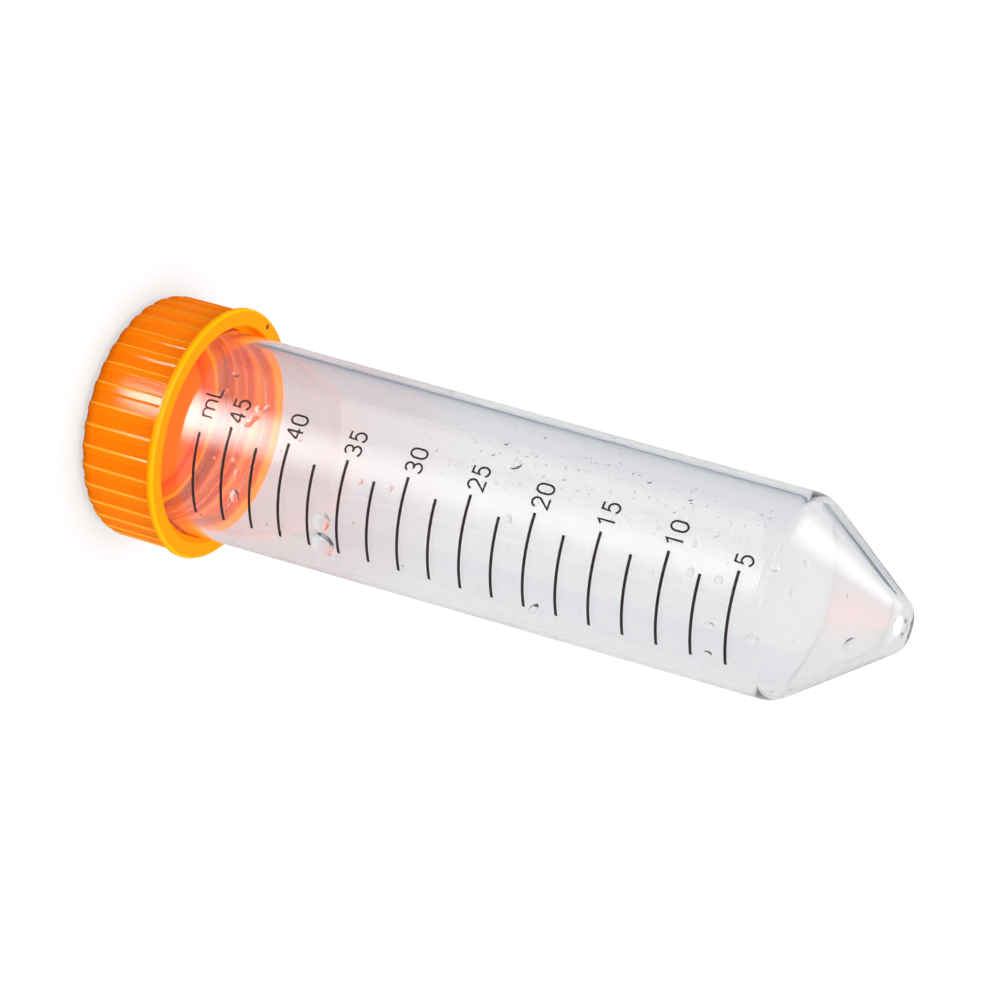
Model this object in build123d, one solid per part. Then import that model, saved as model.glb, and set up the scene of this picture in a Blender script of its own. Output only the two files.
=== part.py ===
from build123d import *
import os
from collections import namedtuple
from math import atan2, cos, degrees, radians, sin, tan

# A 50 mL conical tube with its screw cap, closed and standing upside down on the cap.
# Millimetres. The origin is the centre of the cap's flat top, on which it stands, and +Z
# runs up the tube's axis to the conical tip. Both threads are left plain, at their roots.

# Driving dimensions of the tube
overall_length = 114.8      # cap's flat top to the tip
tube_wall = 1.1             # body and cone
nose_wall = 1.5             # at the tip, where the plastic came in
shoulder_radius = 13.87     # outside, where the body meets the cone
draft_angle = 0.462         # the body widens by this towards the mouth, so that it leaves its mould
cone_height = 14.87         # shoulder to tip
shoulder_fillet = 4.8
nose_flat = 2.78            # radius of the tip's end before its corner is rounded
nose_fillet = 2.8
gate_radius = 0.9           # shallow dimple in the middle of the tip
gate_depth = 0.2
neck_wall = 0.74            # at the mouth, under the root of the thread
collar_height = 0.8         # bead between the neck and the body, above the neck
collar_width = 1.8
collar_chamfer = 0.25
rim_chamfer = 0.2

# Driving dimensions of the cap
cap_height = 12.7
cap_wall = 1.6              # flat top
skirt_wall = 1.68           # from the thread's root to the valleys between the ribs
rib_height = 0.22
rib_width = 1.2             # at half height
rib_flank_lean = 45.0       # lean of a rib's flanks from its middle plane
rib_count = 36
rib_phase = 3.1             # angle of the first rib from +X with the cap screwed home
top_rounding = 2.2          # radius of the top edge
top_flats = 4               # flats that the rounding is made of
flange_overhang = 0.6       # past the ribs
flange_thickness = 1.1
flange_chamfer = 0.2
bore_chamfer = 0.25
lip_length = 2.4            # seal lip that enters the mouth
lip_wall = 0.8
lip_chamfer = 0.3

# Clearances
lip_clearance = 0.12        # lip to the inside of the mouth
collar_clearance = 0.4      # collar to the root of the cap's thread
collar_reach = 0.6          # collar's far edge past the flange's face

# Heights along the axis
skirt_end = cap_height - flange_thickness
mouth_z = cap_wall                              # the rim seats on the inside of the cap's top
shoulder_z = overall_length - cone_height
collar_end = cap_height + collar_reach
collar_start = collar_end - collar_width
cone_lean = degrees(atan2(shoulder_radius - nose_flat, cone_height))


def body_radius(z):
    """Outside radius of the drafted body, carried on to any height."""
    return shoulder_radius + (shoulder_z - z) * tan(radians(draft_angle))


def bore_radius_at(z):
    """Inside radius of the drafted body, carried on to any height."""
    return body_radius(z) - tube_wall / cos(radians(draft_angle))


# Radii from the inside of the mouth outwards, each carried by the one before
neck_radius = bore_radius_at(mouth_z) + neck_wall
collar_radius = neck_radius + collar_height
bore_radius = collar_radius + collar_clearance  # root of the cap's thread
valley_radius = bore_radius + skirt_wall
rib_radius = valley_radius + rib_height
flange_radius = rib_radius + flange_overhang

Corner = namedtuple("Corner", "radius height fillet chamfer", defaults=(0, 0))


def turned(corners):
    """Turn a closed outline of corners about Z, each sharp, filleted or chamfered."""
    points = []
    fillets = []
    for index, corner in enumerate(corners):
        here = Vector(corner.radius, 0, corner.height)
        if corner.chamfer:
            for other in (corners[index - 1], corners[(index + 1) % len(corners)]):
                towards = (Vector(other.radius, 0, other.height) - here).normalized()
                points.append(here + towards * corner.chamfer)
                fillets.append(0)
        else:
            points.append(here)
            fillets.append(corner.fillet)
    return revolve(make_face(FilletPolyline(points, radius=fillets, close=True)), Axis.Z)


def inset_corner(radius, z, lean_below, lean_above, depth):
    """The point that lies depth inside both walls that meet at a corner of an outline."""
    normal_r = cos(radians(lean_below)) + cos(radians(lean_above))
    normal_z = sin(radians(lean_below)) + sin(radians(lean_above))
    share = depth / (1 + cos(radians(lean_above - lean_below)))
    return radius - share * normal_r, z - share * normal_z


def make_tube():
    """One injection moulding: drafted body, cone with a blunt nose, collar and open neck."""
    outside = turned([
        Corner(0, mouth_z),
        Corner(neck_radius, mouth_z, chamfer=rim_chamfer),
        Corner(neck_radius, collar_start),
        Corner(collar_radius, collar_start, chamfer=collar_chamfer),
        Corner(collar_radius, collar_end, chamfer=collar_chamfer),
        Corner(body_radius(collar_end), collar_end),
        Corner(shoulder_radius, shoulder_z, fillet=shoulder_fillet),
        Corner(nose_flat, overall_length, fillet=nose_fillet),
        Corner(0, overall_length),
    ])

    inner_shoulder = inset_corner(shoulder_radius, shoulder_z, draft_angle, cone_lean, tube_wall)
    inner_end = overall_length - nose_wall
    inner_nose = inner_shoulder[0] - (inner_end - inner_shoulder[1]) * tan(radians(cone_lean))
    inside = turned([
        Corner(0, mouth_z),
        Corner(bore_radius_at(mouth_z), mouth_z),
        Corner(*inner_shoulder, fillet=shoulder_fillet - tube_wall),
        Corner(inner_nose, inner_end, fillet=nose_fillet - tube_wall),
        Corner(0, inner_end),
    ])
    mouth = bore_radius_at(mouth_z)
    rim_break = turned([
        Corner(0, mouth_z),
        Corner(mouth + rim_chamfer, mouth_z),
        Corner(mouth - rim_chamfer, mouth_z + 2 * rim_chamfer),
        Corner(0, mouth_z + 2 * rim_chamfer),
    ])
    gate = Pos(0, 0, overall_length) * Cylinder(gate_radius, 2 * gate_depth)
    return outside - inside - rim_break - gate


def rib_ring(valley, z):
    """Cross-section of the ribbed skirt at a height: a ring of ribs with leaning flanks."""
    lean = tan(radians(rib_flank_lean)) * rib_height / 2
    half_root = degrees((rib_width / 2 + lean) / valley_radius)
    half_crown = degrees((rib_width / 2 - lean) / rib_radius)
    crown = valley + rib_height
    points = []
    for index in range(rib_count):
        middle = rib_phase + index * 360 / rib_count
        for radius, offset in (
            (valley, -half_root), (crown, -half_crown), (crown, half_crown), (valley, half_root)
        ):
            angle = radians(middle + offset)
            points.append((radius * cos(angle), radius * sin(angle), z))
    return make_face(Polyline(points, close=True))


def make_skirt():
    """The ribbed skirt, lofted straight up its side and on round the top edge to the flat top."""
    sections = [rib_ring(valley_radius, skirt_end)]
    for step in range(top_flats + 1):
        angle = radians(90 * step / top_flats)
        valley = valley_radius - top_rounding * (1 - cos(angle))
        sections.append(rib_ring(valley, top_rounding * (1 - sin(angle))))
    return loft(sections, ruled=True)


def make_cap():
    """One moulding: flat top, ribbed skirt, flange round the open end and an inner seal lip."""
    flange = turned([
        Corner(0, skirt_end),
        Corner(flange_radius, skirt_end, chamfer=flange_chamfer),
        Corner(flange_radius, cap_height, chamfer=flange_chamfer),
        Corner(0, cap_height),
    ])
    cavity = turned([
        Corner(0, cap_wall),
        Corner(bore_radius, cap_wall),
        Corner(bore_radius, cap_height - bore_chamfer),
        Corner(bore_radius + bore_chamfer, cap_height),
        Corner(0, cap_height),
    ])
    lip_end = cap_wall + lip_length
    lip_radius = bore_radius_at(lip_end) - lip_clearance
    lip = turned([
        Corner(lip_radius - lip_wall, cap_wall / 2),
        Corner(lip_radius, cap_wall / 2),
        Corner(lip_radius, lip_end, chamfer=lip_chamfer),
        Corner(lip_radius - lip_wall, lip_end, chamfer=lip_chamfer),
    ])
    return make_skirt() + flange - cavity + lip


os.makedirs("parts", exist_ok=True)
export_step(make_tube(), "parts/tube.step")
export_step(make_cap(), "parts/cap.step")
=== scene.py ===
import math

import bpy
import numpy as np
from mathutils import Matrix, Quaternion, Vector


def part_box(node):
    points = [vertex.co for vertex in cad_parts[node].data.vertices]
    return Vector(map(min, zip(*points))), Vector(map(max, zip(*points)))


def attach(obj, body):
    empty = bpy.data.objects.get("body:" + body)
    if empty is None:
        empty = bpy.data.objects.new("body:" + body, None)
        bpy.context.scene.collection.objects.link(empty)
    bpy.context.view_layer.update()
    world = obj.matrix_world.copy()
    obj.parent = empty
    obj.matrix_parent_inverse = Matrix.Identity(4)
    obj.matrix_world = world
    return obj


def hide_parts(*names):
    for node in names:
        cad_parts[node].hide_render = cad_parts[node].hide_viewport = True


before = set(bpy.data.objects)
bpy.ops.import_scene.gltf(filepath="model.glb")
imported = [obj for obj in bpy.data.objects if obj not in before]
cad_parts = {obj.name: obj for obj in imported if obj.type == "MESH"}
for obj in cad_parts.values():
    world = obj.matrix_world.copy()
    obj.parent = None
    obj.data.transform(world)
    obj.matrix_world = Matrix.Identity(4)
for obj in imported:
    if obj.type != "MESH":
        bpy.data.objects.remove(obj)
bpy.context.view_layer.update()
print("frame loaded")

# Sizes are in millimetres and angles in degrees, turned into metres and radians where a mesh is made.
mm = 0.001
touch = 0.01  # radii this near each other are one surface
tubeLow, tubeHigh = (np.array(corner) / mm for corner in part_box("tube"))
capLow, capHigh = (np.array(corner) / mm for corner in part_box("cap"))


# Each corner (radius, height, rounding) of an open outline becomes an arc that touches both sides.
def roundedOutline(corners, steps):
    table = np.array(corners, float)
    points, rounding = table[:, :2], np.maximum(table[:, 2], 1e-4)
    here = points[1:-1]
    back = points[:-2] - here
    ahead = points[2:] - here
    back /= np.linalg.norm(back, axis=1, keepdims=True)
    ahead /= np.linalg.norm(ahead, axis=1, keepdims=True)
    middle = back + ahead
    middle /= np.linalg.norm(middle, axis=1, keepdims=True)
    half = 0.5 * np.arccos(np.clip((back * ahead).sum(1), -1, 1))
    reach = (rounding[1:-1] / np.tan(half))[:, None]
    centre = here + middle * (rounding[1:-1] / np.sin(half))[:, None]
    first, last = here + back * reach - centre, here + ahead * reach - centre
    start = np.arctan2(first[:, 1], first[:, 0])
    sweep = (np.arctan2(last[:, 1], last[:, 0]) - start + math.pi) % (2 * math.pi) - math.pi
    angle = start[:, None] + sweep[:, None] * np.linspace(0, 1, steps + 1)
    arcs = centre[:, None] + rounding[1:-1, None, None] * np.stack([np.cos(angle), np.sin(angle)], -1)
    return np.vstack([points[:1], arcs.reshape(-1, 2), points[-1:]])


# Straight runs of an outline are cut into equal parts no longer than spacing, one value for each run.
def divided(points, spacing):
    length = np.linalg.norm(np.diff(points, axis=0), axis=1)
    count = np.maximum(1, np.ceil(length / spacing)).astype(int)
    run = np.repeat(np.arange(len(count)), count)
    step = np.arange(len(run)) - np.repeat(np.cumsum(count) - count, count)
    share = (step / count[run])[:, None]
    cut = points[run] + (points[run + 1] - points[run]) * share
    return np.vstack([cut, points[-1:]])


# 0 below low, 1 above high, and an S curve 3t^2 - 2t^3 between them.
def smoothStep(low, high, value):
    t = np.clip((value - low) / (high - low), 0, 1)
    return t * t * (3 - 2 * t)


# Points in millimetres and a list of faces become an object at the origin.
def meshObject(name, points, faces, smooth=True):
    mesh = bpy.data.meshes.new(name)
    mesh.from_pydata((np.asarray(points) * mm).tolist(), [], faces)
    mesh.validate()
    mesh.polygons.foreach_set("use_smooth", np.full(len(mesh.polygons), smooth))
    mesh.update()
    piece = bpy.data.objects.new(name, mesh)
    bpy.context.scene.collection.objects.link(piece)
    return piece


# Four-sided faces of a grid whose columns close on themselves, numbered row by row.
def gridFaces(rows, columns):
    row = np.arange(rows - 1)[:, None]
    column = np.arange(columns)[None, :]
    nextRow, nextColumn = row + 1, (column + 1) % columns
    corners = [row * columns + column, row * columns + nextColumn,
               nextRow * columns + nextColumn, nextRow * columns + column]
    return np.stack(corners, -1).reshape(-1, 4).tolist()


# A surface of revolution from pole to pole: the point at row i and angle a lies at radius outline
# radius + shift(radius, height, a), and both ends close on the axis.
def turnedPiece(name, outline, angles, shift):
    radius, height = outline[1:-1, 0][:, None], outline[1:-1, 1][:, None]
    turn = np.asarray(angles)[None, :]
    far = radius + shift(radius, height, turn)
    grid = np.stack([far * np.cos(turn), far * np.sin(turn), height + 0 * turn], -1)
    rows, columns = grid.shape[:2]
    points = np.vstack([grid.reshape(-1, 3), [[0, 0, outline[0, 1]], [0, 0, outline[-1, 1]]]])
    faces = gridFaces(rows, columns)
    firstPole, lastPole = rows * columns, rows * columns + 1
    column = np.arange(columns)
    beside = (column + 1) % columns
    top = (rows - 1) * columns
    faces += np.stack([beside, column, np.full(columns, firstPole)], 1).tolist()
    faces += np.stack([top + column, top + beside, np.full(columns, lastPole)], 1).tolist()
    return meshObject(name, points, faces)


# Height of a screw ridge above its root: a flat crest between S-curved flanks, faded in and out at
# the helix's ends. Along the helix, height = start + pitch * turns, so a point lies on the turn
# nearest to it.
def threadRise(height, angle, settings):
    turns = (height - settings["start"]) / settings["pitch"] - angle / (2 * math.pi)
    nearest = np.round(turns)
    across = np.abs(turns - nearest) * settings["pitch"]
    along = nearest + angle / (2 * math.pi)
    fade = smoothStep(0, settings["runOut"], along)
    fade = fade * smoothStep(0, settings["runOut"], settings["turns"] - along)
    root, crest = settings["rootWidth"] / 2, settings["crestWidth"] / 2
    return settings["rise"] * fade * smoothStep(root, crest, across)


# One clear moulding.
tube = {
    "wall": 1.1,
    "noseWall": 1.2,
    "shoulderRadius": 13.87,
    "draft": 0.462,
    "coneHeight": 14.87,
    "shoulderRounding": 4.8,
    "insideShoulderRounding": 1.7,
    "noseFlat": 2.78,
    "noseRounding": 2.7,
    "insideNoseRounding": 4.2,
    "gateRadius": 1.0,
    "gateLean": 0.2,
    "gateRounding": 0.3,
    "gateDepth": 0.06,
    "neckWall": 0.74,
    "neckEnd": 11.5,
    "edge": 0.22,
    "stepEdge": 0.12,
    "columns": 192,
    "spacing": 2.5,
    "threadSpacing": 0.2,
    "thread": {"start": 3.3, "pitch": 3.2, "turns": 2.3, "runOut": 0.12, "rise": 0.82,
               "rootWidth": 2.3, "crestWidth": 0.5},
}
mouthZ, tipZ = tubeLow[2], tubeHigh[2]
shoulderZ = tipZ - tube["coneHeight"]
draftSlope = math.tan(math.radians(tube["draft"]))


# Outside radius of the drafted body, wider towards the mouth.
def bodyRadius(height):
    return tube["shoulderRadius"] + (shoulderZ - height) * draftSlope


def boreRadius(height):
    return bodyRadius(height) - tube["wall"]


# From the pole inside the nose, down the bore, round the rim, and up the outside to the tip.
def tubeOutline():
    lean = math.atan2(tube["shoulderRadius"] - tube["noseFlat"], tube["coneHeight"])
    insideShoulder = (tube["shoulderRadius"] - tube["wall"], shoulderZ - tube["wall"] * math.tan(lean / 2))
    innerEnd = tipZ - tube["noseWall"]
    innerNose = insideShoulder[0] - (innerEnd - insideShoulder[1]) * math.tan(lean)
    neck = boreRadius(mouthZ) + tube["neckWall"]
    dimple = tipZ - tube["gateDepth"]
    edge, stepEdge = tube["edge"], tube["stepEdge"]
    corners = [
        (0, innerEnd, 0),
        (innerNose, innerEnd, tube["insideNoseRounding"]),
        (*insideShoulder, tube["insideShoulderRounding"]),
        (boreRadius(mouthZ), mouthZ, edge),
        (neck, mouthZ, edge),
        (neck, tube["neckEnd"], stepEdge),
        (bodyRadius(tube["neckEnd"]), tube["neckEnd"], stepEdge),
        (tube["shoulderRadius"], shoulderZ, tube["shoulderRounding"]),
        (tube["noseFlat"], tipZ, tube["noseRounding"]),
        (tube["gateRadius"] + tube["gateLean"], tipZ, tube["gateRounding"]),
        (tube["gateRadius"] - tube["gateLean"], dimple, tube["gateRounding"]),
        (0, dimple, 0),
    ]
    points = roundedOutline(corners, 8)
    middle = (points[1:] + points[:-1]) / 2
    onNeck = (abs(middle[:, 0] - neck) < touch) & (middle[:, 1] < tube["neckEnd"])
    return divided(points, np.where(onNeck, tube["threadSpacing"], tube["spacing"])), neck


def makeTube():
    outline, neck = tubeOutline()

    def shift(radius, height, angle):
        return np.where(abs(radius - neck) < touch, threadRise(height, angle, tube["thread"]), 0)

    angles = np.linspace(0, 2 * math.pi, tube["columns"], endpoint=False)
    piece = turnedPiece("tubeShell", outline, angles, shift)
    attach(piece, "tube")
    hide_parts("tube")
    return piece


# One orange moulding.
cap = {
    "wall": 1.6,
    "boreRadius": 15.5,
    "valleyRadius": 17.18,
    "flangeThickness": 1.1,
    "flangeEdge": 0.6,
    "topRounding": 2.2,
    "ribCount": 36,
    "ribPhase": 3.1,
    "ribHeight": 0.22,
    "ribCrown": 3.2,
    "ribRoot": 5.4,
    "ribMargin": 0.15,
    "lipRadius": 13.44,
    "lipWall": 0.8,
    "lipLength": 2.4,
    "lipEdge": 0.3,
    "rimEdge": 0.35,
    "skirtEdge": 0.12,
    "edge": 0.2,
    "inset": 0.01,
    "spacing": 4.0,
    "threadSpacing": 0.25,
    "thread": {"start": 1.9, "pitch": 3.2, "turns": 3.1, "runOut": 0.12, "rise": 0.72,
               "rootWidth": 1.9, "crestWidth": 0.7},
}


# From the middle of the closed end's inside, over the seal lip, down the bore, round the flange,
# along the skirt and round the top edge to the middle of the flat top, then taken backwards.
def capOutline():
    inside, rim = capLow[2] + cap["wall"], capHigh[2]
    lipEnd = inside + cap["lipLength"]
    flange, flangeStart = capHigh[0] - cap["inset"], rim - cap["flangeThickness"]
    edge = cap["edge"]
    corners = [
        (0, inside, 0),
        (cap["lipRadius"] - cap["lipWall"], inside, edge),
        (cap["lipRadius"] - cap["lipWall"], lipEnd, cap["lipEdge"]),
        (cap["lipRadius"], lipEnd, cap["lipEdge"]),
        (cap["lipRadius"], inside, edge),
        (cap["boreRadius"], inside, edge),
        (cap["boreRadius"], rim, cap["rimEdge"]),
        (flange, rim, cap["flangeEdge"]),
        (flange, flangeStart, cap["rimEdge"]),
        (cap["valleyRadius"], flangeStart, cap["skirtEdge"]),
        (cap["valleyRadius"], capLow[2], cap["topRounding"]),
        (0, capLow[2], 0),
    ]
    points = roundedOutline(corners, 6)
    middle = (points[1:] + points[:-1]) / 2
    onBore = (abs(middle[:, 0] - cap["boreRadius"]) < touch) & (middle[:, 1] > inside)
    return divided(points, np.where(onBore, cap["threadSpacing"], cap["spacing"]))[::-1]


# Ribs stand on the skirt and round its top edge, and the screw ridge stands inward on the bore.
def capShift(radius, height, angle):
    pitch = 360 / cap["ribCount"]
    fromRib = abs((np.degrees(angle) - cap["ribPhase"] + pitch / 2) % pitch - pitch / 2)
    rib = cap["ribHeight"] * smoothStep(cap["ribRoot"] / 2, cap["ribCrown"] / 2, fromRib)
    skirtEnd = capHigh[2] - cap["flangeThickness"]
    topFlat = cap["valleyRadius"] - cap["topRounding"]
    onSkirt = (radius > topFlat - touch) & (height < skirtEnd) & (radius < cap["valleyRadius"] + touch)
    midWall = (cap["boreRadius"] + cap["valleyRadius"]) / 2
    onSkirt = onSkirt & ((height < capLow[2] + cap["wall"] - touch) | (radius > midWall))
    onBore = abs(radius - cap["boreRadius"]) < touch
    return np.where(onSkirt, rib, 0) - np.where(onBore, threadRise(height, angle, cap["thread"]), 0)


# Columns stand beside and along each rib's two flanks and in the middle of each rib and valley.
def makeCap():
    pitch = 360 / cap["ribCount"]
    crown, root = cap["ribCrown"] / 2, cap["ribRoot"] / 2
    margin = cap["ribMargin"]
    flank = np.concatenate([[crown - margin], np.linspace(crown, root, 5), [root + margin]])
    period = np.concatenate([[-pitch / 2], -flank[::-1], [0], flank])
    middles = cap["ribPhase"] + pitch * np.arange(cap["ribCount"])
    angles = np.radians((middles[:, None] + period[None, :]).ravel())
    piece = turnedPiece("capShell", capOutline(), angles, capShift)
    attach(piece, "cap")
    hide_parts("cap")
    return piece


# Graduation lines and their numbers.
scale = {
    "firstVolume": 5.0,
    "lastVolume": 47.5,
    "stepVolume": 2.5,
    "firstLine": 95.55,
    "start": -40.4,
    "shortEnd": -88.5,
    "longEnd": -95.6,
    "lineWidth": 0.42,
    "numberStart": -98.4,
    "numberHeight": 2.62,
    "numberWidth": 1.6,
    "numberGap": 0.34,
    "numberDrop": 1.57,
    "stroke": 0.29,
    "arcStep": 9,
    "lineSteps": 40,
    "wholeStep": 5,
    "unitDrop": 1.32,
    "unitStart": -97.0,
    "unitSizes": [(2.6, 2.0, 0.4), (1.6, 2.62, 0)],  # each letter's width, height and gap
    "sink": 0.02,
    "stand": 0.02,
}
# A glyph is a list of strokes on a square from 0 to 1, up and across. A stroke is a chain of straight
# points (x, y) and of arcs (middle x, middle y, half width, half height, first angle, last angle).
glyphs = {
    "0": [[(0.5, 0.66, 0.5, 0.34, 90, 180), (0.5, 0.34, 0.5, 0.34, 180, 360),
           (0.5, 0.66, 0.5, 0.34, 0, 88)]],
    "1": [[(0.14, 0.8), (0.56, 1.0), (0.56, 0.0)]],
    "2": [[(0.48, 0.7, 0.47, 0.3, 168, -28), (0.0, 0.0), (1.0, 0.0)]],
    "3": [[(0.44, 0.75, 0.44, 0.25, 158, -90)], [(0.44, 0.26, 0.5, 0.26, 90, -158)],
          [(0.3, 0.51), (0.52, 0.51)]],
    "4": [[(0.74, 0.0), (0.74, 1.0)], [(0.72, 1.0), (0.0, 0.31)], [(0.0, 0.29), (1.04, 0.29)]],
    "5": [[(0.92, 1.0), (0.18, 1.0), (0.1, 0.53), (0.46, 0.33, 0.5, 0.33, 122, -152)]],
    "m": [[(0.0, 0.0), (0.0, 1.0)], [(0.25, 0.62, 0.25, 0.34, 165, 0), (0.5, 0.0)],
          [(0.75, 0.62, 0.25, 0.34, 165, 0), (1.0, 0.0)]],
    "L": [[(0.0, 1.0), (0.0, 0.0), (1.0, 0.0)]],
}


# A stroke's centre line, with its arcs cut into steps of about arcStep.
def strokePath(chain):
    parts = []
    for item in chain:
        if len(item) == 2:
            parts.append(np.array([item], float))
        else:
            x, y, across, up, first, last = item
            turn = np.radians(np.linspace(first, last, 2 + int(abs(last - first) / scale["arcStep"])))
            parts.append(np.stack([x + across * np.cos(turn), y + up * np.sin(turn)], 1))
    return np.vstack(parts)


# Both edges of a flat stroke of constant width: the path moved half the width along its mitred
# normals.
def ribbon(path, width):
    run = np.diff(path, axis=0)
    run /= np.linalg.norm(run, axis=1, keepdims=True)
    before, after = np.vstack([run[:1], run]), np.vstack([run, run[-1:]])
    normal = np.stack([-(before + after)[:, 1], (before + after)[:, 0]], 1)
    normal /= np.linalg.norm(normal, axis=1, keepdims=True)
    side = np.stack([-after[:, 1], after[:, 0]], 1)
    mitre = 1 / np.maximum((normal * side).sum(1), 0.5)
    offset = normal * (mitre * width / 2)[:, None]
    return path + offset, path - offset


# Flat (across, up) on the wall: across runs round it towards lower angles and up runs to the mouth.
def wrapped(flat, startAngle, baseHeight, rise):
    height = baseHeight - flat[:, 1]
    radius = bodyRadius(height) + rise
    angle = math.radians(startAngle) - flat[:, 0] / bodyRadius(baseHeight)
    return np.stack([radius * np.cos(angle), radius * np.sin(angle), height], 1)


# A ribbon carried onto the wall as a thin closed strip: four points across it at each path point.
def inkStroke(path, width, startAngle, baseHeight):
    left, right = ribbon(path, width)
    low, high = -scale["sink"], scale["stand"]
    ring = [wrapped(right, startAngle, baseHeight, low), wrapped(left, startAngle, baseHeight, low),
            wrapped(left, startAngle, baseHeight, high), wrapped(right, startAngle, baseHeight, high)]
    points = np.stack(ring, 1).reshape(-1, 3)
    last = 4 * (len(path) - 1)
    faces = gridFaces(len(path), 4) + [[3, 2, 1, 0], [last, last + 1, last + 2, last + 3]]
    return points, faces


# Many small closed surfaces as one mesh.
def joined(name, parts, smooth=False):
    points, faces, offset = [], [], 0
    for partPoints, partFaces in parts:
        points.append(partPoints)
        faces += [[index + offset for index in face] for face in partFaces]
        offset += len(partPoints)
    return meshObject(name, np.vstack(points), faces, smooth)


# Height of a volume's line: with the bore's radius growing by slope k from r at the first line, the
# distance is (cube root of (r^3 + 3 k V / pi) - r) / k for V more cubic millimetres.
def lineHeight(volume):
    start = boreRadius(scale["firstLine"])
    more = 1000 * (volume - scale["firstVolume"])
    return scale["firstLine"] - (np.cbrt(start ** 3 + 3 * draftSlope * more / math.pi) - start) / draftSlope


# Strokes of a word. sizes gives each letter's (width, height) and the gap after it.
def glyphParts(text, sizes, startAngle, baseHeight):
    parts, x, stroke = [], 0.0, scale["stroke"]
    for letter, (width, height, gap) in zip(text, sizes):
        box = np.array([width - stroke, height - stroke])
        for chain in glyphs[letter]:
            path = strokePath(chain) * box + np.array([x, 0]) + stroke / 2
            parts.append(inkStroke(path, stroke, startAngle, baseHeight))
        x += width + gap
    return parts


def makeScale():
    steps = int(round((scale["lastVolume"] - scale["firstVolume"]) / scale["stepVolume"]))
    volumes = scale["firstVolume"] + scale["stepVolume"] * np.arange(steps + 1)
    lines, numbers = [], []
    for volume in volumes:
        height = lineHeight(volume)
        whole = volume % scale["wholeStep"] == 0
        sweep = math.radians(scale["start"] - scale["longEnd" if whole else "shortEnd"])
        across = np.linspace(0, sweep * bodyRadius(height), scale["lineSteps"])
        path = np.stack([across, 0 * across], 1)
        lines.append(inkStroke(path, scale["lineWidth"], scale["start"], height))
        if whole:
            digits = str(int(volume))
            sizes = [(scale["numberWidth"], scale["numberHeight"], scale["numberGap"])] * len(digits)
            numbers += glyphParts(digits, sizes, scale["numberStart"], height + scale["numberDrop"])
    unitHeight = lineHeight(scale["lastVolume"]) + scale["unitDrop"]
    numbers += glyphParts("mL", scale["unitSizes"], scale["unitStart"], unitHeight)
    pieces = [joined("scaleLines", lines), joined("scaleNumbers", numbers)]
    for piece in pieces:
        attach(piece, "tube")
    return pieces


patch = {
    "low": 24.0,
    "high": 89.1,
    "firstAngle": 74.0,
    "lastAngle": 136.5,
    "corner": 1.8,
    "sink": 0.01,
    "stand": 0.02,
    "columns": 48,
    "rows": 60,
}


# A rectangle with round corners bent onto the wall behind the scale: rows run up it, and each row
# ends where the corner's circle says. Both of its faces and its edge are one closed surface.
def makePatch():
    middleAngle = math.radians((patch["firstAngle"] + patch["lastAngle"]) / 2)
    halfSweep = math.radians((patch["lastAngle"] - patch["firstAngle"]) / 2)
    share = 0.5 - 0.5 * np.cos(np.linspace(0, math.pi, patch["rows"]))
    height = patch["low"] + (patch["high"] - patch["low"]) * share
    fromEnd = np.minimum(height - patch["low"], patch["high"] - height)
    corner = patch["corner"]
    cut = corner - np.sqrt(np.maximum(corner ** 2 - np.maximum(corner - fromEnd, 0) ** 2, 0))
    half = halfSweep - cut / bodyRadius(height)
    across = np.linspace(-1, 1, patch["columns"])
    angle = middleAngle - half[:, None] * np.concatenate([across, across[::-1]])[None, :]
    rise = np.repeat([-patch["sink"], patch["stand"]], patch["columns"])
    radius = bodyRadius(height)[:, None] + rise[None, :]
    grid = np.stack([radius * np.cos(angle), radius * np.sin(angle), height[:, None] + 0 * angle], -1)
    rows, columns = grid.shape[:2]
    faces = gridFaces(rows, columns)
    ends = []
    for start, reverse in ((0, True), ((rows - 1) * columns, False)):
        column = np.arange(len(across) - 1)
        quad = np.stack([start + column, start + column + 1,
                         start + columns - 2 - column, start + columns - 1 - column], 1)
        ends += (quad[:, ::-1] if reverse else quad).tolist()
    piece = meshObject("writingPatch", grid.reshape(-1, 3), faces + ends, smooth=False)
    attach(piece, "tube")
    return piece


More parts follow.
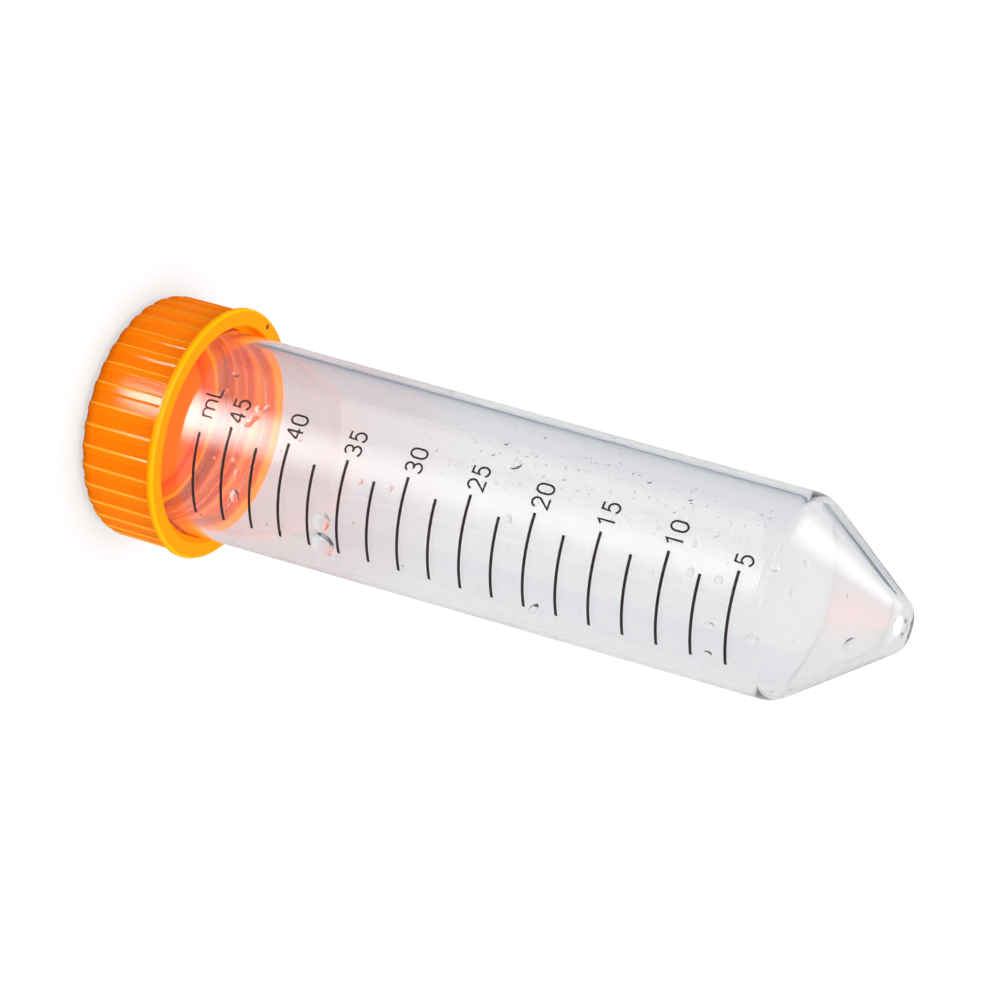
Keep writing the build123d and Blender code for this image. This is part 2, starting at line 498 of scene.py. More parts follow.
# Water drops on the outside of the wall.
drops = {
    "seed": 11,
    "tinyCount": 260,
    "tinyRadius": (0.08, 0.26),
    "tinyRise": 0.24,
    "flatness": 0.52,
    "edgePower": 0.85,
    # a mist of smaller drops on one side: lowest and highest height, first and last angle
    "mistCount": 240,
    "mist": (52.0, 98.0, -136.0, -100.0),
    "mistRadius": (0.08, 0.2),
    "sink": 0.03,
    "largeGrid": (7, 20),
    "tinyGrid": (3, 10),
    "wobble": (0.06, 0.05),
    "lowest": 15.0,
    "belowTip": 3.0,
    # height, angle, radius, length over width, lean from the axis, height over radius
    "large": [
        (18.5, -126, 0.55, 1.0, 0, 0.33), (18.6, -114, 0.45, 1.0, 0, 0.33),
        (23.6, -99.5, 0.42, 1.9, 20, 0.32), (24.1, -103, 0.5, 1.7, 35, 0.32),
        (24.5, -109, 0.55, 1.6, 0, 0.32), (25.3, -111, 0.4, 1.5, 70, 0.32),
        (23.0, -79, 0.42, 1.0, 0, 0.36), (23.7, -72.7, 0.42, 1.0, 0, 0.36),
        (23.6, -59, 0.75, 1.3, 90, 0.33), (17.6, -39, 0.3, 1.0, 0, 0.33), (20.0, -77, 0.25, 1, 0, 0.33),
        (37.0, -58.5, 1.3, 1.1, 70, 0.2), (36.9, -43.5, 1.75, 1.2, 75, 0.2),
        (41.8, -86.5, 0.5, 1.0, 0, 0.28), (61.9, -118.5, 0.75, 1.2, 60, 0.33),
        (63.6, -88.7, 0.6, 1.1, 0, 0.28), (68.9, -118, 0.3, 1, 0, 0.33), (59.1, -130, 0.35, 1, 0, 0.33),
        (58.3, -121, 0.3, 1, 0, 0.33), (46.2, -87, 0.5, 1.1, 0, 0.28), (53.0, -86, 0.35, 1, 0, 0.33),
        (68.3, -40, 0.5, 3.0, 60, 0.25), (79.6, -131, 0.35, 1, 0, 0.33), (85.8, -127, 0.35, 1, 0, 0.33),
        (84.6, -117, 0.3, 1, 0, 0.33), (91.2, -111, 0.35, 1, 0, 0.33), (88.8, -102.5, 0.4, 1, 0, 0.33),
        (89.4, -88, 0.6, 1.0, 0, 0.32), (93.3, -88, 0.6, 1.0, 0, 0.32), (84.3, -81, 0.5, 1, 0, 0.28),
        (93.3, -63, 0.5, 1.2, 0, 0.33), (93.1, -44.6, 0.55, 1.2, 40, 0.32), (99.6, -103, 0.8, 1.0, 0, 0.33),
        (99.0, -62, 0.75, 1.3, 20, 0.32), (103.0, -113, 0.55, 1, 0, 0.33), (102.6, -92, 0.45, 1, 0, 0.36),
        (109.6, -55, 0.75, 1.3, 60, 0.28),
    ],
}


# Outside radius and outward lean of the wall at any height above the neck, ignoring the roundings.
def outsideAt(height):
    slope = (tube["shoulderRadius"] - tube["noseFlat"]) / tube["coneHeight"]
    onCone = height > shoulderZ
    radius = np.where(onCone, tube["shoulderRadius"] - (height - shoulderZ) * slope, bodyRadius(height))
    return radius, np.where(onCone, math.atan(slope), math.atan(draftSlope))


# A bead on the wall: rings from its middle outwards, whose thickness is
# rise * radius * (1 - share^2)^edgePower, over the same outline sunk a little into the wall, closed
# at both poles.
def dropSurface(height, angle, radius, stretch, lean, rise, rings, columns):
    share = np.sin(np.linspace(0, math.pi / 2, rings + 1))[1:]
    turn = np.linspace(0, 2 * math.pi, columns, endpoint=False)
    oval, lobed = drops["wobble"]
    wobble = 1 + oval * np.sin(2 * turn + height) + lobed * np.sin(3 * turn + angle)
    lean = math.radians(lean)
    across = share[:, None] * radius * wobble * np.cos(turn)
    along = share[:, None] * radius * stretch * wobble * np.sin(turn)
    x = across * math.cos(lean) - along * math.sin(lean)
    y = across * math.sin(lean) + along * math.cos(lean)
    rise = rise * drops["flatness"]
    bulge = rise * radius * (1 - share ** 2) ** drops["edgePower"]
    x, y = np.vstack([0 * x[:1], x, x[-1:], x[:1] * 0]), np.vstack([0 * y[:1], y, y[-1:], y[:1] * 0])
    thick = np.concatenate([[rise * radius], bulge, [-drops["sink"]], [-drops["sink"]]])[:, None] + 0 * x
    wall, slope = outsideAt(height + y)
    far = wall + thick * np.cos(slope)
    place = math.radians(angle) + x / wall
    grid = np.stack([far * np.cos(place), far * np.sin(place), height + y + thick * np.sin(slope)], -1)
    body = grid[1:-1].reshape(-1, 3)
    rows = len(grid) - 2
    points = np.vstack([body, grid[0, :1], grid[-1, :1]])
    column = np.arange(columns)
    beside = (column + 1) % columns
    last = (rows - 1) * columns
    faces = [face[::-1] for face in gridFaces(rows, columns)]
    faces += np.stack([column, beside, np.full(columns, rows * columns)], 1).tolist()
    faces += np.stack([last + beside, last + column, np.full(columns, rows * columns + 1)], 1).tolist()
    return points, faces


def makeDrops():
    parts = [dropSurface(*item, *drops["largeGrid"]) for item in drops["large"]]
    random = np.random.default_rng(drops["seed"])
    count = drops["tinyCount"]
    heights = random.uniform(drops["lowest"], tipZ - drops["belowTip"], count)
    angles = random.uniform(-180, 180, count)
    low, high = drops["tinyRadius"]
    radii = low + (high - low) * random.random(count) ** 2
    count = drops["mistCount"]
    lowHeight, highHeight, firstAngle, lastAngle = drops["mist"]
    heights = np.append(heights, random.uniform(lowHeight, highHeight, count))
    angles = np.append(angles, random.uniform(firstAngle, lastAngle, count))
    low, high = drops["mistRadius"]
    radii = np.append(radii, low + (high - low) * random.random(count) ** 2)
    for height, angle, radius in zip(heights, angles, radii):
        parts.append(dropSurface(height, angle, radius, 1.0, 0, drops["tinyRise"], *drops["tinyGrid"]))
    piece = joined("waterDrops", parts, smooth=True)
    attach(piece, "tube")
    return piece


def newMaterial(name):
    material = bpy.data.materials.new(name)
    material.use_nodes = True
    tree = material.node_tree
    return material, tree, tree.nodes["Principled BSDF"]


# Each wire is (node, output, next node, input), with sockets given by name or number.
def wire(tree, *wires):
    for source, output, target, entry in wires:
        tree.links.new(source.outputs[output], target.inputs[entry])


def newNodes(tree, *kinds):
    return [tree.nodes.new("ShaderNode" + kind) for kind in kinds]


def setInputs(node, values):
    for name, value in values.items():
        node.inputs[name].default_value = value


# One operation on numbers or other nodes' outputs.
def mathNode(tree, operation, first, second=0.0, third=0.0):
    node, = newNodes(tree, "Math")
    node.operation = operation
    for socket, value in zip(node.inputs, (first, second, third)):
        if isinstance(value, (int, float)):
            socket.default_value = value
        else:
            tree.links.new(value, socket)
    return node.outputs["Value"]


# value carried from one range (start, end) to another, straight or as an S curve.
def rangeNode(tree, value, given, result, curve="LINEAR"):
    node, = newNodes(tree, "MapRange")
    node.interpolation_type = curve
    setInputs(node, dict(zip(("From Min", "From Max", "To Min", "To Max"), (*given, *result))))
    tree.links.new(value, node.inputs["Value"])
    return node.outputs["Result"]


# 0 where value is at low or beyond it and 1 at high, with an S curve between.
def maskBetween(tree, value, low, high):
    return rangeNode(tree, value, (low * mm, high * mm), (0, 1), "SMOOTHSTEP")


# first where mask is 0 and second where it is 1; each is a colour or another node's output.
def mixedColour(tree, mask, first, second):
    node, = newNodes(tree, "Mix")
    node.data_type = "RGBA"
    tree.links.new(mask, node.inputs["Factor"])
    for socket, colour in ((node.inputs["A"], first), (node.inputs["B"], second)):
        if isinstance(colour, tuple):
            socket.default_value = colour
        else:
            tree.links.new(colour, socket)
    return node.outputs["Result"]


marks = {
    "stretch": (1, 1, 0.06),  # draws the streaks out along the axis
    "streakDetail": 2,
    "mottleDetail": 1,
    "streakShare": 0.35,
    "usual": (0.3, 0.7),  # most values of the noise lie between these
}


# Streaks left by a polished mould, drawn out along the axis, over a broad unevenness: height =
# mottle + streakShare * streaks. Height goes to a Bump node and Mottle is a slow mask from 0 to 1.
def mouldedSurfaceGroup():
    group = bpy.data.node_groups.new("mouldedSurface", "ShaderNodeTree")
    for name in ("Streak Scale", "Mottle Scale"):
        group.interface.new_socket(name, in_out="INPUT", socket_type="NodeSocketFloat")
    for name in ("Height", "Mottle"):
        group.interface.new_socket(name, in_out="OUTPUT", socket_type="NodeSocketFloat")
    given, out = group.nodes.new("NodeGroupInput"), group.nodes.new("NodeGroupOutput")
    place, stretch, streaks, mottle = newNodes(group, "TexCoord", "Mapping", "TexNoise", "TexNoise")
    setInputs(stretch, {"Scale": marks["stretch"]})
    setInputs(streaks, {"Detail": marks["streakDetail"]})
    setInputs(mottle, {"Detail": marks["mottleDetail"]})
    wire(group, (place, "Object", stretch, "Vector"), (stretch, "Vector", streaks, "Vector"),
         (place, "Object", mottle, "Vector"), (given, "Streak Scale", streaks, "Scale"),
         (given, "Mottle Scale", mottle, "Scale"), (mottle, "Fac", out, "Mottle"))
    height = mathNode(group, "MULTIPLY_ADD", streaks.outputs["Fac"], marks["streakShare"],
                      mottle.outputs["Fac"])
    group.links.new(height, out.inputs["Height"])
    return group


# The moulded surface at a material's own scales, with its height as the bump. Gives its mottle.
def addMarks(tree, moulded, shader, settings):
    noise, bump = newNodes(tree, "Group", "Bump")
    noise.node_tree = moulded
    setInputs(noise, dict(zip(("Streak Scale", "Mottle Scale"), settings["scales"])))
    setInputs(bump, dict(zip(("Strength", "Distance"), settings["bump"])))
    wire(tree, (noise, "Height", bump, "Height"), (bump, "Normal", shader, "Normal"))
    return noise.outputs["Mottle"]


# Rays from a surface to a lamp pass straight through, as they nearly do through a thin clear wall.
def letLampsThrough(tree, shader, tint):
    path, clear, mix = newNodes(tree, "LightPath", "BsdfTransparent", "MixShader")
    setInputs(clear, {"Color": tint})
    wire(tree, (path, "Is Shadow Ray", mix, "Fac"), (shader, "BSDF", mix, 1), (clear, "BSDF", mix, 2),
         (mix, "Shader", tree.nodes["Material Output"], "Surface"))


# In every material, scales are of the streaks and the mottle, and bump is strength and distance.
tubeLooks = {
    "scales": (700.0, 90.0),
    "bump": (0.02, 0.0004),
    "roughness": (0.02, 0.06),
    "shadow": (0.93, 0.935, 0.94, 1),
    # what is not transmitted is the plastic's own haze
    "shader": {"Base Color": (0.965, 0.965, 0.972, 1), "IOR": 1.5, "Transmission Weight": 0.985},
}
waterLooks = {
    "scales": (500.0, 400.0),
    "bump": (0.05, 0.00005),
    "shadow": (1, 1, 1, 1),
    "shader": {"Base Color": (1, 1, 1, 1), "IOR": 1.2, "Transmission Weight": 1.0, "Roughness": 0.0},
}


def clearMaterial(name, looks, moulded):
    material, tree, shader = newMaterial(name)
    setInputs(shader, looks["shader"])
    mottle = addMarks(tree, moulded, shader, looks)
    if "roughness" in looks:
        roughness = rangeNode(tree, mottle, marks["usual"], looks["roughness"])
        tree.links.new(roughness, shader.inputs["Roughness"])
    letLampsThrough(tree, shader, looks["shadow"])
    return material


capLooks = {
    "scales": (1400.0, 160.0),
    "bump": (0.12, 0.0002),
    "roughness": (0.3, 0.4),
    # the coat is the whole of its weak gloss
    "shader": {"IOR": 1.49, "Specular IOR Level": 0.0, "Coat Weight": 0.12, "Coat Roughness": 0.1,
               "Subsurface Weight": 0.15, "Subsurface Radius": (1.0, 0.35, 0.05),
               "Subsurface Scale": 0.0008},
    "skirt": (0.94, 0.19, 0.0003, 1),
    "skirtMottle": (0.96, 0.212, 0.0004, 1),
    # painted sheen: rib crowns a shade paler than the valleys
    "ribCrown": (0.96, 0.222, 0.0004, 1),
    "ribHighlight": (1.0, 0.44, 0.045, 1),  # painted highlight: a pale line on each rib's upper flank, where its gloss catches the light
    # painted shade: the flange's top face a deeper orange than the skirt, against the strong light from
    # above
    "flangeFace": (0.95, 0.172, 0.0002, 1),
    "flangeEdge": (1.0, 0.33, 0.0006, 1),  # painted glow: paler towards the rim, for light shining through the thin flange
    # painted shade: the cap's inside a deeper orange, and its floor deeper still, for the shade the tube's
    # wall casts there
    "inside": (0.92, 0.17, 0.0002, 1),
    "insideFloor": (0.85, 0.09, 0.0001, 1),
    "speck": (0.05, 0.02, 0.005, 1),
    "speckPlace": (16.83, 165.6, 12.7),  # radius, angle, height
    "speckRadius": (0.5, 0.3),
    "highlightPlace": -1.85,  # degrees from the middle of a rib
    "highlightHalfWidth": (0.7, 0.2),
    # where each colour begins and is full: two radii or two heights
    "crownRadius": (17.22, 17.38),
    "edgeRadius": (17.5, 17.9),
    "flangeHeight": (11.5, 11.75),
    "insideRadius": (15.9, 15.6),
    "insideHeight": (0.9, 1.3),
    "insideFloorHeight": (2.7, 2.0),
}


# Degrees from each rib's painted highlight line, folded to half a pitch on both sides, then an S curve that
# is 1 on the line and 0 away from it.
def ribLineMask(tree, split):
    pitch = 360 / cap["ribCount"]
    turn = mathNode(tree, "ARCTAN2", split.outputs["Y"], split.outputs["X"])
    shift = pitch / 2 - cap["ribPhase"] - capLooks["highlightPlace"]
    turn = mathNode(tree, "MULTIPLY_ADD", turn, math.degrees(1), shift + 360)
    turn = mathNode(tree, "MODULO", turn, pitch)
    apart = mathNode(tree, "ABSOLUTE", mathNode(tree, "SUBTRACT", turn, pitch / 2))
    outer, inner = capLooks["highlightHalfWidth"]
    return maskBetween(tree, apart, outer / mm, inner / mm)


def orangePlastic(moulded):
    material, tree, shader = newMaterial("orangePlastic")
    setInputs(shader, capLooks["shader"])
    noise = addMarks(tree, moulded, shader, capLooks)
    place, split, flat, radius, away = newNodes(
        tree, "TexCoord", "SeparateXYZ", "Mapping", "VectorMath", "VectorMath")
    setInputs(flat, {"Scale": (1, 1, 0)})
    radius.operation, away.operation = "LENGTH", "DISTANCE"
    far, turn, height = capLooks["speckPlace"]
    turn = math.radians(turn)
    away.inputs[1].default_value = (far * math.cos(turn) * mm, far * math.sin(turn) * mm, height * mm)
    wire(tree, (place, "Object", split, "Vector"), (place, "Object", flat, "Vector"),
         (flat, "Vector", radius, 0), (place, "Object", away, 0))
    fromAxis, up = radius.outputs["Value"], split.outputs["Z"]

    def painted(below, name, value, span):
        return mixedColour(tree, maskBetween(tree, value, *capLooks[span]), below, capLooks[name])

    mottle = rangeNode(tree, noise, marks["usual"], (0, 1))
    skirt = mixedColour(tree, mottle, capLooks["skirt"], capLooks["skirtMottle"])
    # painted sheen: paler on the rib crowns
    skirt = painted(skirt, "ribCrown", fromAxis, "crownRadius")
    # painted highlight: a pale line along each rib's upper flank
    skirt = mixedColour(tree, ribLineMask(tree, split), skirt, capLooks["ribHighlight"])
    # painted shade on the flange's face and a painted glow towards its rim
    flange = painted(capLooks["flangeFace"], "flangeEdge", fromAxis, "edgeRadius")
    # painted shade inside the cap, deepest on its floor
    inside = painted(capLooks["inside"], "insideFloor", up, "insideFloorHeight")
    colour = mixedColour(tree, maskBetween(tree, up, *capLooks["flangeHeight"]), skirt, flange)
    within = mathNode(tree, "MULTIPLY", maskBetween(tree, fromAxis, *capLooks["insideRadius"]),
                      maskBetween(tree, up, *capLooks["insideHeight"]))
    colour = mixedColour(tree, within, colour, inside)
    colour = painted(colour, "speck", away.outputs["Value"], "speckRadius")
    tree.links.new(colour, shader.inputs["Base Color"])
    roughness = rangeNode(tree, noise, marks["usual"], capLooks["roughness"])
    tree.links.new(roughness, shader.inputs["Roughness"])
    return material


inks = {
    "scales": (2500.0, 1500.0),
    "bump": (0.03, 0.00005),
    "black": {"colours": ((0.022, 0.014, 0.016, 1), (0.04, 0.028, 0.03, 1)),
              "shader": {"Roughness": 0.3, "Alpha": 1.0, "Transmission Weight": 0.0, "IOR": 1.15}},
    "white": {"colours": ((0.82, 0.81, 0.8, 1), (0.88, 0.87, 0.86, 1)),
              "shader": {"Roughness": 0.9, "Alpha": 0.35, "Transmission Weight": 0.7, "IOR": 1.2}},
}


def ink(name, looks, moulded):
    material, tree, shader = newMaterial(name)
    setInputs(shader, looks["shader"])
    mottle = rangeNode(tree, addMarks(tree, moulded, shader, inks), marks["usual"], (0, 1))
    tree.links.new(mixedColour(tree, mottle, *looks["colours"]), shader.inputs["Base Color"])
    return material


# Floor and light.
stage = {
    "floorRings": (150.0, 600.0, 3000.0),
    "floorColumns": 96,
    "floorDrop": 0.02,
    "floorColour": (0.362, 0.362, 0.367, 1),
    "floorSeenColour": (0.19, 0.19, 0.19, 1),
    "floorGlow": 0.62,
    # painted shade and painted reflection: the floor near the cap is darker and pinker, for the cap's shade
    # and the
    # light it throws back: not beyond the first distance, fully within the second
    "floorTint": (0.942, 0.845, 0.835, 1),
    "floorTintReach": (122.0, 74.0),
    "worldColour": (1.0, 1.0, 1.0, 1),
    "worldStrength": 0.75,
    "zenithStrength": 0.95,
    "zenithFrom": (0.4, 0.95),  # upward share of a direction
    "overhead": {"place": (0, 0, 3000), "aim": (0, 0, 50), "size": (2700, 2700), "radiance": 8.0},
    # a round softbox at the side, brightest in its middle
    "side": {"azimuth": 174.0, "elevation": 37.0, "distance": 700.0, "aimHeight": 100.0,
             "radius": 350.0, "columns": 48, "radiance": 3.6},
    "fill": {"place": (250, -1000, 520), "aim": (0, 0, 10), "size": (670, 560), "radiance": 4.0},
    "fanGrid": (24, 32),
    # a fan on the floor in front, bright near the tube and fading outwards
    "bodyGlow": {"angle": -100.0, "near": 41.0, "far": 420.0, "halfWidth": 29.0,
                 "radiance": 12.0, "fadeLength": 30.0, "least": 2.9, "floor": 0.82,
                 "nearRadiance": 6.5, "nearReach": (75.0, 62.0), "height": 0.3},
    # a short narrow fan that only the cap's gloss shows: it swells outwards, then ends
    "capGlow": {"angle": -99.0, "near": 20.0, "far": 41.0, "halfWidth": 12.0,
                "radiance": 140.0, "swell": (21.5, 33.0), "end": (41.0, 39.3), "floor": 0.82,
                "height": 0.3},
    # blue-grey cards beside the tube, seen only in its wall: one flat and one standing
    "flatShade": {"apex": -13.0, "first": 127.5, "last": 202.0, "near": 14.0, "far": 700.0,
                  "height": 0.2, "colour": (0.2, 0.25, 0.32, 1)},
    "standingShade": {"apex": -13.0, "first": 119.5, "last": 135.0, "distance": 420.0,
                      "low": 135.0, "high": 215.0, "columns": 8, "colour": (0.08, 0.13, 0.2, 1)},
}
camera = {
    "target": (-1.725, 0.003, 55.819),
    "distance": 420.05,
    "azimuth": -90.116,
    "elevation": 22.878,
    "roll": 105.714,
    "lens": 112.67,
    "sensor": 36.0,
    "clip": (0.01, 20.0),
    "bounces": 64,
}


def emptyMaterial(name):
    material = bpy.data.materials.new(name)
    material.use_nodes = True
    material.node_tree.nodes.clear()
    return material, material.node_tree


# Unit vector at an azimuth and an elevation in degrees.
def pointing(azimuth, elevation):
    azimuth, elevation = math.radians(azimuth), math.radians(elevation)
    flat = math.cos(elevation)
    return np.array([flat * math.cos(azimuth), flat * math.sin(azimuth), math.sin(elevation)])


def stageCard(name, points, faces):
    piece = meshObject(name, points, faces, smooth=False)
    piece.visible_camera = False
    piece.visible_shadow = False
    return piece


# A flat sector of a ring, facing up: rows run outwards from near to far, columns across its angles.
def fanPiece(name, near, far, first, last, height, apex=0.0):
    rows, columns = stage["fanGrid"]
    distance = np.linspace(near, far, rows)[:, None]
    turn = np.radians(np.linspace(first, last, columns))[None, :]
    flat = height + 0 * distance * turn
    grid = np.stack([apex + distance * np.cos(turn), distance * np.sin(turn), flat], -1)
    row, column = np.arange(rows - 1)[:, None], np.arange(columns - 1)[None, :]
    corner = row * columns + column
    quads = np.stack([corner, corner + columns, corner + columns + 1, corner + 1], -1).reshape(-1, 4)
    return stageCard(name, grid.reshape(-1, 3), quads.tolist())


# Rings of a disc facing up. Camera rays see a bright glowing floor, and all other rays a matt one.
def makeFloor():
    columns, rings = stage["floorColumns"], np.array(stage["floorRings"])[:, None]
    turn = np.linspace(0, 2 * math.pi, columns, endpoint=False)
    level = capLow[2] - stage["floorDrop"]
    grid = np.stack([rings * np.cos(turn), rings * np.sin(turn), level + 0 * rings * turn], -1)
    points = np.vstack([grid.reshape(-1, 3), [[0, 0, level]]])
    column = np.arange(columns)
    faces = [face[::-1] for face in gridFaces(len(rings), columns)]
    middle = np.full(columns, len(points) - 1)
    faces += np.stack([column, (column + 1) % columns, middle], 1).tolist()
    piece = meshObject("studioFloor", points, faces, smooth=False)
    material, tree = emptyMaterial("paleFloor")
    matt, seen, glow, add = newNodes(tree, "BsdfDiffuse", "BsdfDiffuse", "Emission", "AddShader")
    path, mix, out = newNodes(tree, "LightPath", "MixShader", "OutputMaterial")
    place, far = newNodes(tree, "TexCoord", "VectorMath")
    setInputs(seen, {"Color": stage["floorSeenColour"]})
    setInputs(glow, {"Strength": stage["floorGlow"]})
    far.operation = "LENGTH"
    wire(tree, (seen, "BSDF", add, 0), (glow, "Emission", add, 1), (place, "Object", far, 0),
         (path, "Is Camera Ray", mix, "Fac"), (matt, "BSDF", mix, 1), (add, "Shader", mix, 2),
         (mix, "Shader", out, "Surface"))
    # painted shade and reflected light of the cap on the matt floor
    beside = maskBetween(tree, far.outputs["Value"], *stage["floorTintReach"])
    tinted = tuple(a * b for a, b in zip(stage["floorColour"], stage["floorTint"]))
    tree.links.new(mixedColour(tree, beside, stage["floorColour"], tinted), matt.inputs["Color"])
    piece.data.materials.append(material)


# A one-sided round lamp, whose power is pi * area * radiance with area = pi / 4 * width * length.
def softbox(name, settings, mirrored):
    width, length = settings["size"]
    data = bpy.data.lights.new(name, "AREA")
    data.shape = "ELLIPSE"
    data.size, data.size_y = width * mm, length * mm
    area = math.pi / 4 * data.size * data.size_y
    data.energy = math.pi * settings["radiance"] * area
    lamp = bpy.data.objects.new(name, data)
    direction = Vector(settings["aim"]) - Vector(settings["place"])
    lamp.rotation_mode = "QUATERNION"
    lamp.rotation_quaternion = direction.to_track_quat("-Z", "Y")
    lamp.location = Vector(settings["place"]) * mm
    lamp.visible_camera = False
    lamp.visible_glossy, lamp.visible_transmission = mirrored, False
    bpy.context.scene.collection.objects.link(lamp)


# A fan on the floor, giving the parts of its material: the distance along the fan, and a soft share
# that falls as an S curve from 1 on its middle line to 0 on both sides.
def glowFan(name, glow):
    angle, half = glow["angle"], glow["halfWidth"]
    fan = fanPiece(name, glow["near"], glow["far"], angle - half, angle + half, glow["height"])
    fan.visible_diffuse = fan.visible_transmission = False
    material, tree = emptyMaterial(name + "Light")
    place, split, turned = newNodes(tree, "TexCoord", "SeparateXYZ", "Mapping")
    setInputs(turned, {"Rotation": (0, 0, -math.radians(angle))})
    wire(tree, (place, "Object", turned, "Vector"), (turned, "Vector", split, "Vector"))
    along, across = split.outputs["X"], split.outputs["Y"]
    edge = mathNode(tree, "ABSOLUTE", mathNode(tree, "DIVIDE", across, along))
    edge = mathNode(tree, "DIVIDE", edge, math.tan(math.radians(half)))
    fan.data.materials.append(material)
    return tree, along, maskBetween(tree, edge, 1 / mm, 0.0)


# Strength is added to the floor's own level, on the upper side only.
def lightFan(tree, strength, floor):
    out, emission, facing = newNodes(tree, "OutputMaterial", "Emission", "NewGeometry")
    front = mathNode(tree, "SUBTRACT", 1.0, facing.outputs["Backfacing"])
    strength = mathNode(tree, "MULTIPLY", mathNode(tree, "ADD", strength, floor), front)
    tree.links.new(strength, emission.inputs["Strength"])
    wire(tree, (emission, "Emission", out, "Surface"))


# Radiance least + radiance * exp(-(distance - near) / fadeLength) + nearRadiance inside nearReach,
# times the soft share.
def makeBodyGlow():
    glow = stage["bodyGlow"]
    tree, along, soft = glowFan("bodyGlow", glow)
    share = mathNode(tree, "SUBTRACT", along, glow["near"] * mm)
    share = mathNode(tree, "MULTIPLY", share, -1 / (glow["fadeLength"] * mm))
    fade = mathNode(tree, "POWER", math.e, share)
    strength = mathNode(tree, "MULTIPLY_ADD", fade, glow["radiance"], glow["least"])
    close = maskBetween(tree, along, *glow["nearReach"])
    strength = mathNode(tree, "MULTIPLY_ADD", close, glow["nearRadiance"], strength)
    lightFan(tree, mathNode(tree, "MULTIPLY", strength, soft), glow["floor"])


# Radiance times swell, end and the soft share, where swell rises and end falls as S curves along
# the fan.
def makeCapGlow():
    glow = stage["capGlow"]
    tree, along, soft = glowFan("capGlow", glow)
    strength = mathNode(tree, "MULTIPLY", maskBetween(tree, along, *glow["swell"]),
                        maskBetween(tree, along, *glow["end"]))
    strength = mathNode(tree, "MULTIPLY", strength, soft)
    strength = mathNode(tree, "MULTIPLY", strength, glow["radiance"])
    lightFan(tree, strength, glow["floor"])


# A card that gives off its own colour and is left out of diffuse light.
def plainCard(card, colour):
    card.visible_diffuse = False
    material, tree = emptyMaterial(card.name + "Colour")
    out, glow = newNodes(tree, "OutputMaterial", "Emission")
    setInputs(glow, {"Color": colour})
    wire(tree, (glow, "Emission", out, "Surface"))
    card.data.materials.append(material)


def makeShades():
    flat, standing = stage["flatShade"], stage["standingShade"]
    card = fanPiece("flatShade", flat["near"], flat["far"], flat["first"], flat["last"],
                    flat["height"], flat["apex"])
    plainCard(card, flat["colour"])
    turn = np.radians(np.linspace(standing["first"], standing["last"], standing["columns"]))
    foot = np.stack([standing["apex"] + standing["distance"] * np.cos(turn),
                     standing["distance"] * np.sin(turn), standing["low"] + 0 * turn], 1)
    points = np.vstack([foot, foot + [0, 0, standing["high"] - standing["low"]]])
    column = np.arange(len(turn) - 1)
    quads = np.stack([column, column + len(turn), column + len(turn) + 1, column + 1], 1).tolist()
    plainCard(stageCard("standingShade", points, quads), standing["colour"])


# A disc facing the tube whose radiance falls as an S curve from its middle to its rim.
def makeSidePanel():
    side = stage["side"]
    toward, azimuth = pointing(side["azimuth"], side["elevation"]), math.radians(side["azimuth"])
    centre = toward * side["distance"] + [0, 0, side["aimHeight"]]
    right = np.array([-math.sin(azimuth), math.cos(azimuth), 0])
    up = np.cross(toward, right)
    turn = np.linspace(0, 2 * math.pi, side["columns"], endpoint=False)[:, None]
    rim = centre + side["radius"] * (right * np.cos(turn) + up * np.sin(turn))
    panel = stageCard("sidePanel", rim, [list(range(side["columns"]))])
    panel.visible_diffuse = False
    material, tree = emptyMaterial("sidePanelLight")
    out, glow, place, far = newNodes(tree, "OutputMaterial", "Emission", "TexCoord", "VectorMath")
    far.operation = "DISTANCE"
    far.inputs[1].default_value = tuple(centre * mm)
    wire(tree, (place, "Object", far, 0), (glow, "Emission", out, "Surface"))
    soft = rangeNode(tree, far.outputs["Value"], (side["radius"] * mm, 0.0),
                     (stage["worldStrength"], side["radiance"]), "SMOOTHSTEP")
    tree.links.new(soft, glow.inputs["Strength"])
    panel.data.materials.append(material)


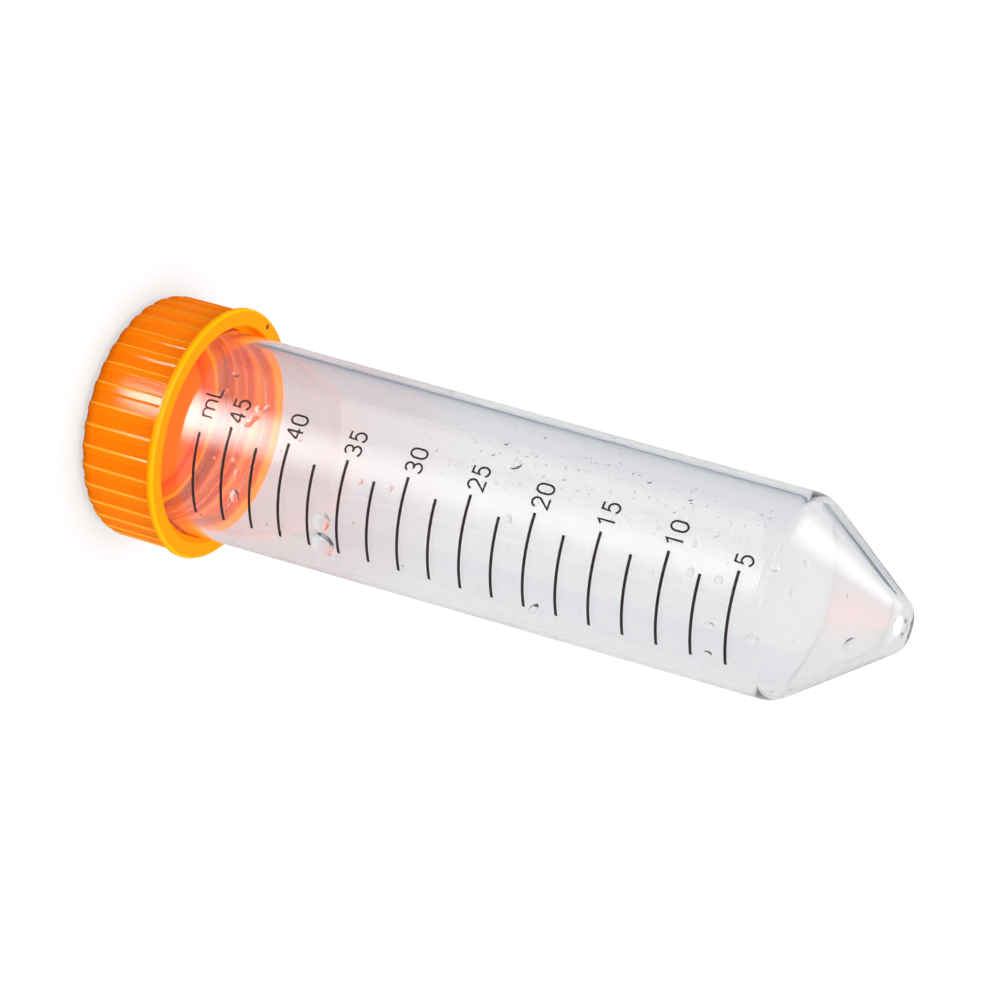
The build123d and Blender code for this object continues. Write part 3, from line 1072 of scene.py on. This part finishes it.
def makeLights():
    world = bpy.data.worlds.new("studioWorld")
    world.use_nodes = True
    tree = world.node_tree
    back = tree.nodes["Background"]
    setInputs(back, {"Color": stage["worldColour"]})
    direction, split = newNodes(tree, "TexCoord", "SeparateXYZ")
    wire(tree, (direction, "Generated", split, "Vector"))
    levels = stage["worldStrength"], stage["zenithStrength"]
    strength = rangeNode(tree, split.outputs["Z"], stage["zenithFrom"], levels, "SMOOTHSTEP")
    tree.links.new(strength, back.inputs["Strength"])
    bpy.context.scene.world = world
    softbox("overheadSoftbox", stage["overhead"], mirrored=True)
    softbox("fillSoftbox", stage["fill"], mirrored=False)
    makeSidePanel()
    makeBodyGlow()
    makeCapGlow()
    makeShades()


def makeCamera():
    data = bpy.data.cameras.new("sceneCamera")
    data.lens = camera["lens"]
    data.sensor_width = camera["sensor"]
    data.clip_start, data.clip_end = camera["clip"]
    item = bpy.data.objects.new("sceneCamera", data)
    back = Vector(pointing(camera["azimuth"], camera["elevation"]))
    item.location = (Vector(camera["target"]) + back * camera["distance"]) * mm
    item.rotation_mode = "QUATERNION"
    roll = Quaternion((0, 0, 1), math.radians(camera["roll"]))
    item.rotation_quaternion = (-back).to_track_quat("-Z", "Y") @ roll
    bpy.context.scene.collection.objects.link(item)
    bpy.context.scene.camera = item
    bpy.context.scene.view_settings.view_transform = "Standard"
    # light crosses many walls of clear plastic and water
    cycles = bpy.context.scene.cycles
    cycles.max_bounces = cycles.transmission_bounces = camera["bounces"]
    cycles.transparent_max_bounces = camera["bounces"]


makeCamera()
makeFloor()
makeLights()
print("stage ready")

moulded = mouldedSurfaceGroup()
tubeShell = makeTube()
tubeShell.data.materials.append(clearMaterial("clearPlastic", tubeLooks, moulded))
print("tube ready")
capShell = makeCap()
capShell.data.materials.append(orangePlastic(moulded))
print("cap ready")
blackInk = ink("blackInk", inks["black"], moulded)
for piece in makeScale():
    piece.data.materials.append(blackInk)
whiteInk = ink("whiteInk", inks["white"], moulded)
makePatch().data.materials.append(whiteInk)
print("print ready")
makeDrops().data.materials.append(clearMaterial("clearWater", waterLooks, moulded))
print("drops ready")
